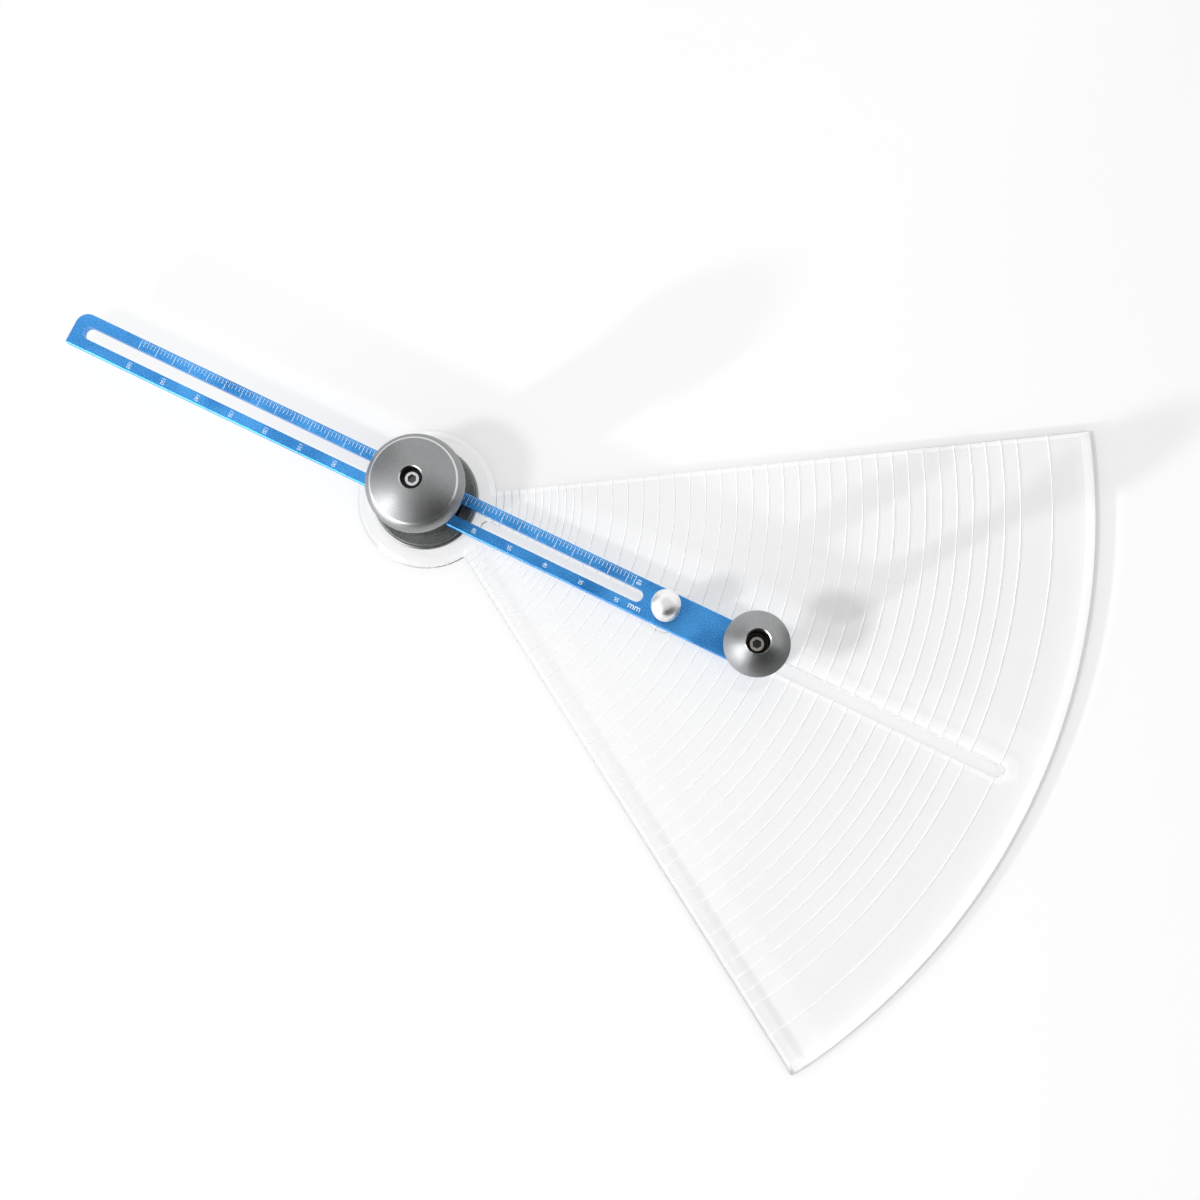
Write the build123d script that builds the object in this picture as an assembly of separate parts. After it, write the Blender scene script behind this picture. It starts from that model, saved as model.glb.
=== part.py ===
from build123d import *
import math
import os

# Rotary circle cutter, in millimetres.
# The origin is on the pivot axis, on the sheet that is being cut. +Z is up.
# +X runs along the arm from the pivot to the blade. The scale's ticks lie on the +Y side.

# Driving sizes of the whole tool
CUT_RADIUS = 68.5              # radius that the arm is set to at rest
CUT_RADIUS_MAX = 160.0         # last number of the scale
OVERRUN = 1.0                  # how far every cutting body runs past a face
RUNNING_FIT = 0.05             # radial clearance of a piece that turns or slides
THREAD_FIT = 0.02              # radial clearance of a screw in its thread
WASHER_PLAY = 0.10             # axial play over a washer

# Clear press plate: a round eye and a sector in one sheet
PLATE_THICKNESS = 3.0
PLATE_MARGIN = 10.6            # longest radius to the outer arc
PLATE_HALF_ANGLE = 31.5        # degrees each side of the arm
PLATE_BEVEL = 1.4              # 45 degree bevel round the top and along the slot
PLATE_ARC_BEVEL = 2.8          # width of the flatter bevel along the outer arc
EYE_RADIUS = 18.0
PLATE_SLOT_WIDTH = 3.5
PLATE_SLOT_SPARE = 0.5         # slot runs this far past the shortest radius
PLATE_SLOT_END_GAP = 0.2       # blade's shaft to the slot's outer end

# Centre foot and its pad: the part of the tool that stays still
PAD_THICKNESS = 0.8
FOOT_ABOVE_PLATE = 1.0         # how far the foot's disc stands over the plate
FOOT_IN_EYE_GAP = 0.4          # foot to the plate's bore, all round
SPINDLE_IN_SLOT_GAP = 0.1      # spindle to the sides of the arm's slot
SPINDLE_IN_KNOB = 4.0          # spindle's length in the palm knob
SPINDLE_THREAD_DEPTH = 7.0
FOOT_EDGE = 0.4                # chamfer on the foot's lower edge

# Washers at the two ends of the hub
THRUST_WASHER_THICKNESS = 0.3
THRUST_WASHER_INSET = 0.6      # foot's edge to the washer's edge
KNOB_WASHER_THICKNESS = 0.3
KNOB_WASHER_RADIUS = 6.0

# Flange ring, base flange and neck
RING_RADIUS = 13.6
RING_WIDTH = 5.8               # ring's edge to the bore for the foot
RING_THICKNESS = 1.4
RING_EDGE = 0.35
FLANGE_STEP = 0.6              # ring's edge shows this far round the flange
FLANGE_THICKNESS = 1.8
FLANGE_EDGE = 0.25
FLANGE_WEB = 0.8               # floor left under the neck's spigot
NECK_RADIUS = 10.4
NECK_HEIGHT = 11.8             # above the flange
NECK_EDGE = 0.3
SPIGOT_RADIUS = 6.9
CHANNEL_FLOOR = 0.75           # neck left under the arm
CHANNEL_PLAY = 0.05            # clearance of the arm in its channel, each side
INDEX_OFFSET = 7.85            # pivot axis to the edge where the scale is read
INDEX_WINDOW_HEIGHT = 3.0
INDEX_WINDOW_INNER = 0.6       # window's edge, from the arm's middle line

# Brake under the arm, which holds the radius
BRAKE_POCKET_RADIUS = 5.6
BRAKE_SIDE_GAP = 0.2           # pocket to pad, and pad to spring, all round
BRAKE_BORE_GAP = 0.4           # spindle to pad, and pad to spring, all round
BRAKE_PAD_THICKNESS = 0.9
DISC_SPRING_SHEET = 0.25
BRAKE_PLAY = 0.05

# Arm
ARM_WIDTH = 9.4
ARM_THICKNESS = 2.8
ARM_TAIL = 170.5               # blade axis to the arm's far end
ARM_TAIL_WALL = 3.0            # solid end past the slot
ARM_SLOT_WIDTH = 3.4
ARM_SLOT_TO_BLADE = 6.5        # near end of the slot to the blade axis
ARM_TAIL_ROUND = 3.4           # rounded corner on the ticks' side
ARM_EDGE = 0.25

# Palm knob
KNOB_RADIUS = 12.4
KNOB_FOOT_RADIUS = 11.2        # underside
KNOB_SKIRT = 2.8               # underside to the widest line
KNOB_BAND = 3.1                # widest line to the polished edge
KNOB_RING_RADIUS = 11.0
KNOB_RING_WIDTH = 0.4          # polished 45 degree edge
KNOB_CROWN = 3.75              # polished edge to the recess mouth
KNOB_CROWN_SWELL = 0.45        # how far the crown bulges over a straight cone
KNOB_BAND_SWELL = 0.35
KNOB_RECESS_RADIUS = 2.7
KNOB_RECESS_LIP = 0.25
KNOB_WEB = 2.0                 # under the screw's head

# Small socket screws, used in both knobs
CAP_HEAD_RADIUS = 1.9
CAP_HEAD_HEIGHT = 2.0
CAP_HEAD_EDGE = 0.2
CAP_SHANK_RADIUS = 1.0
CAP_SOCKET_ACROSS = 2.0
CAP_SOCKET_DEPTH = 1.0
CAP_HOLE_RADIUS = 1.1
PALM_SCREW_LENGTH = 7.5

# Countersunk screws that hold the plate to the flange
PLATE_SCREW_COUNT = 3
PLATE_SCREW_HEAD = 1.9
PLATE_SCREW_SHANK = 0.95
PLATE_SCREW_SINK = 0.15        # head below the plate's underside
PLATE_SCREW_BITE = 1.2         # length in the flange
PLATE_SCREW_SOCKET = 1.1       # across flats
PLATE_SCREW_SOCKET_DEPTH = 0.6
PLATE_SCREW_PLAY = 0.1

# Crank: post, bush and knob at the arm's end
CRANK_TO_BLADE = 24.0
POST_HEIGHT = 12.4
POST_FOOT_RADIUS = 4.2
POST_FOOT_HEIGHT = 1.2
POST_WAIST_RADIUS = 2.7
POST_TOP_RADIUS = 3.5
POST_TOP_HEIGHT = 1.6
BUSH_RADIUS = 1.75
BUSH_FLANGE_RADIUS = 2.5
BUSH_FLANGE_THICKNESS = 0.4
CRANK_WASHER_THICKNESS = 0.3
CRANK_WASHER_RADIUS = 3.2
CRANK_RADIUS = 8.0
CRANK_FOOT_RADIUS = 4.4
CRANK_WEB = 0.9                # knob's floor round the bush
CRANK_FLARE = 3.2              # underside of the knob to the widest line
CRANK_RIM = 0.7
CRANK_CONE = 5.8               # widest line to the recess mouth
CRANK_CONE_SWELL = 0.55
CRANK_RECESS_RADIUS = 2.85
CRANK_RECESS_LIP = 0.25

# Blade cartridge
BLADE_TRAVEL = 1.0             # blade's stroke
CAP_ARM_GAP = 0.3              # left between cap and arm when the blade is down
CAP_FOOT_RADIUS = 3.45         # rim over the arm
CAP_RADIUS = 3.65              # widest line, at the foot of the dome
CAP_SIDE = 8.3                 # rim to the widest line
CAP_SIDE_SWELL = 0.12
CAP_DOME = 3.0
CAP_TIP_RADIUS = 0.9           # small flat at the top of the dome
CAP_WALL = 0.7
CAP_CAVITY = 5.5
CAP_GRIP = 2.4                 # shaft's length in the cap
CAP_SLEEVE_GAP = 0.1           # cap's bore to the sleeve's head
SLEEVE_RADIUS = 2.3
SLEEVE_ABOVE_ARM = 2.2
SLEEVE_BELOW_ARM = 2.4
SHAFT_RADIUS = 1.2
SHAFT_BELOW_SLEEVE = 2.6
GUARD_RADIUS = 5.3
GUARD_FLAT = 4.3               # blade axis to the flat on the hub's side
GUARD_RING_GAP = 0.1           # guard's flat to the hub's ring at the shortest radius
GUARD_THICKNESS = 3.4
GUARD_EDGE = 0.3
CLIP_RADIUS = 1.9
CLIP_THICKNESS = 0.3
CLIP_POCKET_GAP = 0.3
CLIP_GAP = 0.05
CLIP_MOUTH = 60.0              # degrees left open in the ring
BLADE_THICKNESS = 0.38
BLADE_WIDTH = 1.9
BLADE_GRIP = 1.3               # blade's length in the shaft
BLADE_TIP_HEIGHT = 0.5         # tip over the sheet at rest
BLADE_BEVEL = 0.12
BLADE_PLAY = 0.02
PIN_RADIUS = 0.3               # pin that holds the blade

# Return spring of the blade
SPRING_WIRE = 0.4
SPRING_TURNS = 4
SPRING_SEAT_GAP = 0.05

# Sizes of pieces that fit in or round another piece
spindle_radius = ARM_SLOT_WIDTH / 2 - SPINDLE_IN_SLOT_GAP
eye_bore = RING_RADIUS - RING_WIDTH
foot_radius = eye_bore - FOOT_IN_EYE_GAP
thrust_washer_radius = foot_radius - THRUST_WASHER_INSET
plate_reach = CUT_RADIUS_MAX + PLATE_MARGIN
cut_radius_min = RING_RADIUS + GUARD_RING_GAP + GUARD_FLAT
flange_radius = RING_RADIUS - FLANGE_STEP
screw_circle = (eye_bore + RING_RADIUS) / 2
pad_radius = BRAKE_POCKET_RADIUS - BRAKE_SIDE_GAP
pad_bore = spindle_radius + BRAKE_BORE_GAP
disc_spring_radius = pad_radius - BRAKE_SIDE_GAP
disc_spring_bore = pad_bore + BRAKE_BORE_GAP
cap_cavity_radius = CAP_FOOT_RADIUS - CAP_WALL
sleeve_flange_radius = cap_cavity_radius - CAP_SLEEVE_GAP
spring_radius = (SHAFT_RADIUS + cap_cavity_radius) / 2
clip_pocket_radius = CLIP_RADIUS + CLIP_POCKET_GAP

# Heights, from the bottom up
plate_top = PLATE_THICKNESS
foot_top = plate_top + FOOT_ABOVE_PLATE
ring_top = plate_top + RING_THICKNESS
flange_top = ring_top + FLANGE_THICKNESS
neck_top = flange_top + NECK_HEIGHT
spigot_bottom = ring_top + FLANGE_WEB
arm_bottom = flange_top + CHANNEL_FLOOR + CHANNEL_PLAY
arm_top = arm_bottom + ARM_THICKNESS
knob_bottom = neck_top + KNOB_WASHER_THICKNESS + WASHER_PLAY
knob_wide = knob_bottom + KNOB_SKIRT
knob_ring = knob_wide + KNOB_BAND
knob_ring_top = knob_ring + KNOB_RING_WIDTH
knob_top = knob_ring_top + KNOB_CROWN
spindle_top = knob_bottom + SPINDLE_IN_KNOB
palm_seat = spindle_top + KNOB_WEB
post_top = arm_top + POST_HEIGHT
crank_bottom = post_top + CRANK_WASHER_THICKNESS + WASHER_PLAY
bush_shoulder = crank_bottom + CRANK_WEB + WASHER_PLAY
bush_top = bush_shoulder + BUSH_FLANGE_THICKNESS
crank_wide = crank_bottom + CRANK_FLARE
crank_top = crank_wide + CRANK_RIM + CRANK_CONE
sleeve_top = arm_top + SLEEVE_ABOVE_ARM
sleeve_bottom = arm_bottom - SLEEVE_BELOW_ARM
shaft_bottom = sleeve_bottom - SHAFT_BELOW_SLEEVE
cap_bottom = arm_top + BLADE_TRAVEL + CAP_ARM_GAP
cap_shoulder = cap_bottom + CAP_SIDE
cap_top = cap_shoulder + CAP_DOME
cavity_top = cap_bottom + CAP_CAVITY
shaft_top = cavity_top + CAP_GRIP
guard_top = arm_bottom
guard_bottom = guard_top - GUARD_THICKNESS
blade_top = shaft_bottom + BLADE_GRIP

# Places along X
blade_x = CUT_RADIUS
crank_x = blade_x + CRANK_TO_BLADE
tail_x = blade_x - ARM_TAIL
arm_slot_near = blade_x - ARM_SLOT_TO_BLADE
arm_slot_far = tail_x + ARM_TAIL_WALL

BASE = (Align.CENTER, Align.CENTER, Align.MIN)
QUARTERS = 4                   # pairs of arcs in one turn of the spring


def disc(radius, low, high, x=0.0):
    """A plain upright disc from one height to another."""
    return Pos(x, 0, low) * Cylinder(radius, high - low, align=BASE)


def ring(outer, inner, low, high, x=0.0):
    """A disc with a round hole right through it."""
    return disc(outer, low, high, x) - disc(inner, low - OVERRUN, high + OVERRUN, x)


def turned(points, x=0.0):
    """A body turned on a lathe about an upright axis, from its outline as (radius, height)."""
    outline = Plane.XZ * make_face(Polyline(*points, close=True))
    return Pos(x, 0, 0) * revolve(outline, Axis.Z)


def turned_edges(edges, x=0.0):
    """As turned, from lines and arcs that close on themselves."""
    outline = Plane.XZ * make_face(edges)
    return Pos(x, 0, 0) * revolve(outline, Axis.Z)


def bulge(start, end, swell):
    """An arc between two outline points whose middle stands out by swell."""
    run = end[0] - start[0]
    rise = end[1] - start[1]
    length = math.hypot(run, rise)
    middle_r = (start[0] + end[0]) / 2 + swell * rise / length
    middle_z = (start[1] + end[1]) / 2 - swell * run / length
    return ThreePointArc(start, (middle_r, middle_z), end)


def hex_prism(across, low, high, x=0.0):
    """The hexagon of a key socket."""
    corner = across / math.sqrt(3)
    return Pos(x, 0, low) * extrude(RegularPolygon(corner, 6), high - low)


def slot_prism(first_x, last_x, width, low, high):
    """A slot with round ends along X, given by the middles of its ends."""
    radius = width / 2
    outline = Pos((first_x + last_x) / 2, 0) * Rectangle(last_x - first_x, width)
    outline += Pos(first_x, 0) * Circle(radius)
    outline += Pos(last_x, 0) * Circle(radius)
    return Pos(0, 0, low) * extrude(outline, high - low)


def cap_screw(seat, tip, x=0.0):
    """A socket head screw whose head stands on seat and whose shank ends at tip."""
    top = seat + CAP_HEAD_HEIGHT
    body = turned([
        (0, tip), (CAP_SHANK_RADIUS, tip), (CAP_SHANK_RADIUS, seat), (CAP_HEAD_RADIUS, seat),
        (CAP_HEAD_RADIUS, top - CAP_HEAD_EDGE), (CAP_HEAD_RADIUS - CAP_HEAD_EDGE, top), (0, top),
    ], x)
    return body - hex_prism(CAP_SOCKET_ACROSS, top - CAP_SOCKET_DEPTH, top + OVERRUN, x)


def sector_outline():
    """The plan of the press plate: a sector whose point lies on the pivot, and the round eye."""
    half = math.radians(PLATE_HALF_ANGLE)
    left = (plate_reach * math.cos(half), plate_reach * math.sin(half))
    right = (left[0], -left[1])
    edges = Line((0, 0), right) + ThreePointArc(right, (plate_reach, 0), left) + Line(left, (0, 0))
    return make_face(edges) + Circle(EYE_RADIUS)


def screw_places():
    """Where the plate's screws stand, evenly round the pivot, with the slot between two of them."""
    step = math.tau / PLATE_SCREW_COUNT
    angles = [step * (number + 1 / 2) for number in range(PLATE_SCREW_COUNT)]
    return [(screw_circle * math.cos(a), screw_circle * math.sin(a)) for a in angles]


def press_plate():
    """Clear sheet that holds the work flat, bevelled round its top edge and along the slot."""
    radius = PLATE_SLOT_WIDTH / 2
    slot_start = cut_radius_min - PLATE_SLOT_SPARE
    slot_end = CUT_RADIUS_MAX + SHAFT_RADIUS + PLATE_SLOT_END_GAP - radius
    body = extrude(sector_outline(), PLATE_THICKNESS)
    body -= slot_prism(slot_start, slot_end, PLATE_SLOT_WIDTH, -OVERRUN, plate_top + OVERRUN)
    top_face = body.faces().sort_by(Axis.Z)[-1]
    body = chamfer(top_face.edges(), PLATE_BEVEL)
    crest = plate_reach - PLATE_ARC_BEVEL
    outside = plate_reach + OVERRUN
    fall = (PLATE_ARC_BEVEL + OVERRUN) * PLATE_BEVEL / PLATE_ARC_BEVEL
    above = plate_top + OVERRUN
    body -= turned([(crest, plate_top), (outside, plate_top - fall), (outside, above), (crest, above)])
    body -= disc(eye_bore, -OVERRUN, plate_top + OVERRUN)
    hole = PLATE_SCREW_SHANK + PLATE_SCREW_PLAY
    mouth = PLATE_SCREW_HEAD + PLATE_SCREW_SINK + PLATE_SCREW_PLAY
    sunk = turned([
        (0, -OVERRUN), (mouth, -OVERRUN), (mouth, 0), (hole, mouth - hole),
        (hole, plate_top + OVERRUN), (0, plate_top + OVERRUN),
    ])
    for x, y in screw_places():
        body -= Pos(x, y, 0) * sunk
    return body


def centre_foot():
    """Round foot that stands still in the plate's eye, with the spindle that the hub turns on."""
    body = turned([
        (0, PAD_THICKNESS), (foot_radius - FOOT_EDGE, PAD_THICKNESS),
        (foot_radius, PAD_THICKNESS + FOOT_EDGE), (foot_radius, foot_top),
        (spindle_radius, foot_top), (spindle_radius, spindle_top), (0, spindle_top),
    ])
    thread = CAP_SHANK_RADIUS + THREAD_FIT
    return body - disc(thread, spindle_top - SPINDLE_THREAD_DEPTH, spindle_top + OVERRUN)


def grip_pad():
    """Rubber disc glued under the foot."""
    return disc(foot_radius - FOOT_EDGE, 0, PAD_THICKNESS)


def thrust_washer():
    """Slippery washer between the foot and the turning flange."""
    bore = spindle_radius + RUNNING_FIT
    return ring(thrust_washer_radius, bore, foot_top, foot_top + THRUST_WASHER_THICKNESS)


def knob_washer():
    """Slippery washer between the neck and the palm knob."""
    bore = spindle_radius + RUNNING_FIT
    return ring(KNOB_WASHER_RADIUS, bore, neck_top, neck_top + KNOB_WASHER_THICKNESS)


def flange_ring():
    """Silver ring clamped between the plate and the flange."""
    body = turned([
        (eye_bore, plate_top), (RING_RADIUS, plate_top), (RING_RADIUS, ring_top - RING_EDGE),
        (RING_RADIUS - RING_EDGE, ring_top), (eye_bore, ring_top),
    ])
    for x, y in screw_places():
        body -= Pos(x, y, 0) * disc(PLATE_SCREW_SHANK + PLATE_SCREW_PLAY, 0, ring_top + OVERRUN)
    return body


def base_flange():
    """Gunmetal disc that carries the neck, with blind threads for the plate's screws."""
    bore = spindle_radius + RUNNING_FIT
    seat = SPIGOT_RADIUS + THREAD_FIT
    body = turned([
        (bore, ring_top), (flange_radius, ring_top), (flange_radius, flange_top - FLANGE_EDGE),
        (flange_radius - FLANGE_EDGE, flange_top), (seat, flange_top), (seat, spigot_bottom),
        (bore, spigot_bottom),
    ])
    for x, y in screw_places():
        thread = disc(PLATE_SCREW_SHANK + THREAD_FIT, 0, ring_top + PLATE_SCREW_BITE + THREAD_FIT)
        body -= Pos(x, y, 0) * thread
    return body


def hub_neck():
    """Polished neck with the channel that guides the arm, and the window where the scale is read."""
    bore = spindle_radius + RUNNING_FIT
    body = turned([
        (bore, spigot_bottom), (SPIGOT_RADIUS, spigot_bottom), (SPIGOT_RADIUS, flange_top),
        (NECK_RADIUS, flange_top), (NECK_RADIUS, neck_top - NECK_EDGE),
        (NECK_RADIUS - NECK_EDGE, neck_top), (bore, neck_top),
    ])
    channel_bottom = arm_bottom - CHANNEL_PLAY
    channel_top = arm_top + CHANNEL_PLAY
    channel_width = ARM_WIDTH + CHANNEL_PLAY + CHANNEL_PLAY
    length = NECK_RADIUS + NECK_RADIUS + OVERRUN
    channel = Box(length, channel_width, channel_top - channel_bottom, align=BASE)
    body -= Pos(0, 0, channel_bottom) * channel
    body -= disc(BRAKE_POCKET_RADIUS, spigot_bottom - OVERRUN, channel_bottom + CHANNEL_PLAY)
    depth = NECK_RADIUS + OVERRUN - INDEX_OFFSET
    width = channel_width / 2 - INDEX_WINDOW_INNER
    window = Box(depth, width, INDEX_WINDOW_HEIGHT + CHANNEL_PLAY, align=(Align.MIN, Align.MIN, Align.MIN))
    return body - Pos(INDEX_OFFSET, INDEX_WINDOW_INNER, channel_top - CHANNEL_PLAY) * window


def brake_pad():
    """Nylon ring that rubs on the arm's underside and holds the radius."""
    top = arm_bottom - BRAKE_PLAY
    return ring(pad_radius, pad_bore, top - BRAKE_PAD_THICKNESS, top)


def disc_spring():
    """Coned spring washer that presses the brake pad up."""
    low = spigot_bottom
    high = arm_bottom - BRAKE_PLAY - BRAKE_PAD_THICKNESS
    return turned([
        (disc_spring_radius - DISC_SPRING_SHEET, low), (disc_spring_radius, low),
        (disc_spring_radius, low + DISC_SPRING_SHEET), (disc_spring_bore + DISC_SPRING_SHEET, high),
        (disc_spring_bore, high), (disc_spring_bore, high - DISC_SPRING_SHEET),
    ])


def plate_screws():
    """Countersunk screws from below, one separate solid each."""
    tip = ring_top + PLATE_SCREW_BITE
    low = PLATE_SCREW_SINK
    cone = PLATE_SCREW_HEAD - PLATE_SCREW_SHANK
    one = turned([
        (0, low), (PLATE_SCREW_HEAD, low), (PLATE_SCREW_SHANK, low + cone),
        (PLATE_SCREW_SHANK, tip), (0, tip),
    ])
    one -= hex_prism(PLATE_SCREW_SOCKET, low - OVERRUN, low + PLATE_SCREW_SOCKET_DEPTH)
    return Compound([Pos(x, y, 0) * one for x, y in screw_places()])


def palm_knob():
    """Domed knob that is held and pressed, turned from one bar."""
    bore = spindle_radius + THREAD_FIT
    mouth = (KNOB_RECESS_RADIUS + KNOB_RECESS_LIP, knob_top)
    lip = (KNOB_RECESS_RADIUS, knob_top - KNOB_RECESS_LIP)
    ring_outer = (KNOB_RING_RADIUS, knob_ring)
    ring_inner = (KNOB_RING_RADIUS - KNOB_RING_WIDTH, knob_ring_top)
    wide = (KNOB_RADIUS, knob_wide)
    outline = Polyline(
        lip, (KNOB_RECESS_RADIUS, palm_seat), (CAP_HOLE_RADIUS, palm_seat),
        (CAP_HOLE_RADIUS, spindle_top), (bore, spindle_top), (bore, knob_bottom),
        (KNOB_FOOT_RADIUS, knob_bottom),
    )
    outline += bulge((KNOB_FOOT_RADIUS, knob_bottom), wide, KNOB_BAND_SWELL)
    outline += bulge(wide, ring_outer, KNOB_BAND_SWELL)
    outline += Line(ring_outer, ring_inner)
    outline += bulge(ring_inner, mouth, KNOB_CROWN_SWELL)
    outline += Line(mouth, lip)
    return turned_edges(outline)


def palm_screw():
    """Socket screw that holds the palm knob on the spindle."""
    return cap_screw(palm_seat, palm_seat - PALM_SCREW_LENGTH)


def arm():
    """Long flat bar with a slot, one rounded corner at the tail and a round nose at the crank."""
    nose = ARM_WIDTH / 2
    outline = Pos((tail_x + crank_x) / 2, 0) * Rectangle(crank_x - tail_x, ARM_WIDTH)
    corner = outline.vertices().sort_by(Axis.X)[:2].sort_by(Axis.Y)[-1]
    outline = fillet(corner, ARM_TAIL_ROUND)
    outline += Pos(crank_x, 0) * Circle(nose)
    body = Pos(0, 0, arm_bottom) * extrude(outline, ARM_THICKNESS)
    flat_faces = body.faces().filter_by(Axis.Z)
    body = chamfer(flat_faces.edges(), ARM_EDGE)
    radius = ARM_SLOT_WIDTH / 2
    low = arm_bottom - OVERRUN
    high = arm_top + OVERRUN
    body -= slot_prism(arm_slot_far + radius, arm_slot_near - radius, ARM_SLOT_WIDTH, low, high)
    body -= disc(SLEEVE_RADIUS + THREAD_FIT, low, high, blade_x)
    return body - disc(CAP_SHANK_RADIUS + THREAD_FIT, low, high, crank_x)


def crank_post():
    """Waisted post that lifts the crank knob over the arm."""
    foot = arm_top + POST_FOOT_HEIGHT
    shoulder = post_top - POST_TOP_HEIGHT
    return turned([
        (CAP_HOLE_RADIUS, arm_top), (POST_FOOT_RADIUS, arm_top), (POST_FOOT_RADIUS, foot),
        (POST_WAIST_RADIUS, foot + POST_FOOT_RADIUS - POST_WAIST_RADIUS),
        (POST_WAIST_RADIUS, shoulder - POST_TOP_RADIUS + POST_WAIST_RADIUS),
        (POST_TOP_RADIUS, shoulder), (POST_TOP_RADIUS, post_top), (CAP_HOLE_RADIUS, post_top),
    ], crank_x)


def crank_washer():
    """Slippery washer between the post and the crank knob, round the bush."""
    bore = BUSH_RADIUS + RUNNING_FIT
    return ring(CRANK_WASHER_RADIUS, bore, post_top, post_top + CRANK_WASHER_THICKNESS, crank_x)


def crank_bush():
    """Flanged steel bush that the crank knob turns on."""
    return turned([
        (CAP_HOLE_RADIUS, post_top), (BUSH_RADIUS, post_top), (BUSH_RADIUS, bush_shoulder),
        (BUSH_FLANGE_RADIUS, bush_shoulder), (BUSH_FLANGE_RADIUS, bush_top),
        (CAP_HOLE_RADIUS, bush_top),
    ], crank_x)


def crank_screw():
    """Socket screw that clamps bush and post to the arm."""
    return cap_screw(bush_top, arm_bottom + ARM_EDGE, crank_x)


def crank_knob():
    """Cone shaped knob that turns freely in the fingers."""
    bore = BUSH_RADIUS + RUNNING_FIT
    web_top = crank_bottom + CRANK_WEB
    rim_top = (CRANK_RADIUS, crank_wide + CRANK_RIM)
    mouth = (CRANK_RECESS_RADIUS + CRANK_RECESS_LIP, crank_top)
    lip = (CRANK_RECESS_RADIUS, crank_top - CRANK_RECESS_LIP)
    outline = Polyline(
        lip, (CRANK_RECESS_RADIUS, web_top), (bore, web_top), (bore, crank_bottom),
        (CRANK_FOOT_RADIUS, crank_bottom), (CRANK_RADIUS, crank_wide), rim_top,
    )
    outline += bulge(rim_top, mouth, CRANK_CONE_SWELL)
    outline += Line(mouth, lip)
    return turned_edges(outline, crank_x)


def blade_sleeve():
    """Sleeve screwed through the arm that guides the blade's shaft."""
    bore = SHAFT_RADIUS + RUNNING_FIT
    return turned([
        (bore, sleeve_bottom), (SLEEVE_RADIUS, sleeve_bottom), (SLEEVE_RADIUS, arm_top),
        (sleeve_flange_radius, arm_top), (sleeve_flange_radius, sleeve_top), (bore, sleeve_top),
    ], blade_x)


def blade_guard():
    """Clear foot screwed on the sleeve, with a flat that lets it come up to the flange."""
    thread = SLEEVE_RADIUS + THREAD_FIT
    body = turned([
        (thread, guard_top), (thread, sleeve_bottom), (clip_pocket_radius, sleeve_bottom),
        (clip_pocket_radius, guard_bottom), (GUARD_RADIUS - GUARD_EDGE, guard_bottom),
        (GUARD_RADIUS, guard_bottom + GUARD_EDGE), (GUARD_RADIUS, guard_top - GUARD_EDGE),
        (GUARD_RADIUS - GUARD_EDGE, guard_top),
    ], blade_x)
    waste = Box(GUARD_RADIUS, GUARD_RADIUS + GUARD_RADIUS + OVERRUN, GUARD_THICKNESS + OVERRUN + OVERRUN,
                align=(Align.MAX, Align.CENTER, Align.MIN))
    return body - Pos(blade_x - GUARD_FLAT, 0, guard_bottom - OVERRUN) * waste


def blade_cap():
    """Polished stud, hollow from below, that is pushed down to lower the blade."""
    shoulder = (CAP_RADIUS, cap_shoulder)
    tip = (CAP_TIP_RADIUS, cap_top)
    middle_share = math.sqrt(1 / 2)
    middle = (CAP_TIP_RADIUS + (CAP_RADIUS - CAP_TIP_RADIUS) * middle_share,
              cap_shoulder + CAP_DOME * middle_share)
    outline = Polyline(
        tip, (0, cap_top), (0, shaft_top), (SHAFT_RADIUS, shaft_top), (SHAFT_RADIUS, cavity_top),
        (cap_cavity_radius, cavity_top), (cap_cavity_radius, cap_bottom), (CAP_FOOT_RADIUS, cap_bottom),
    )
    outline += bulge((CAP_FOOT_RADIUS, cap_bottom), shoulder, CAP_SIDE_SWELL)
    outline += ThreePointArc(shoulder, middle, tip)
    return turned_edges(outline, blade_x)


def blade_shaft():
    """Round shaft, grooved for its clip and slit for the blade."""
    groove = (SHAFT_RADIUS + CLIP_RADIUS) / 2 - (CLIP_RADIUS - SHAFT_RADIUS)
    clip_top = sleeve_bottom - CLIP_GAP
    clip_low = clip_top - CLIP_THICKNESS
    body = turned([
        (0, shaft_bottom), (SHAFT_RADIUS, shaft_bottom), (SHAFT_RADIUS, clip_low), (groove, clip_low),
        (groove, clip_top), (SHAFT_RADIUS, clip_top), (SHAFT_RADIUS, shaft_top), (0, shaft_top),
    ], blade_x)
    slit = Box(BLADE_THICKNESS + BLADE_PLAY + BLADE_PLAY, BLADE_WIDTH + BLADE_PLAY + BLADE_PLAY,
               BLADE_GRIP + OVERRUN, align=BASE)
    body -= Pos(blade_x, 0, shaft_bottom - OVERRUN) * slit
    return body - blade_pin_body(THREAD_FIT)


def blade_pin_body(spare):
    """The cross pin's cylinder along X, larger all round by spare."""
    length = SHAFT_RADIUS + SHAFT_RADIUS + spare + spare
    place = Pos(blade_x, 0, shaft_bottom + BLADE_GRIP / 2)
    return place * Rot(0, 90, 0) * Cylinder(PIN_RADIUS + spare, length)


def blade_pin():
    """Pin pressed through shaft and blade, trimmed to the shaft's round."""
    return blade_pin_body(0) & disc(SHAFT_RADIUS, shaft_bottom, blade_top, blade_x)


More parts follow.
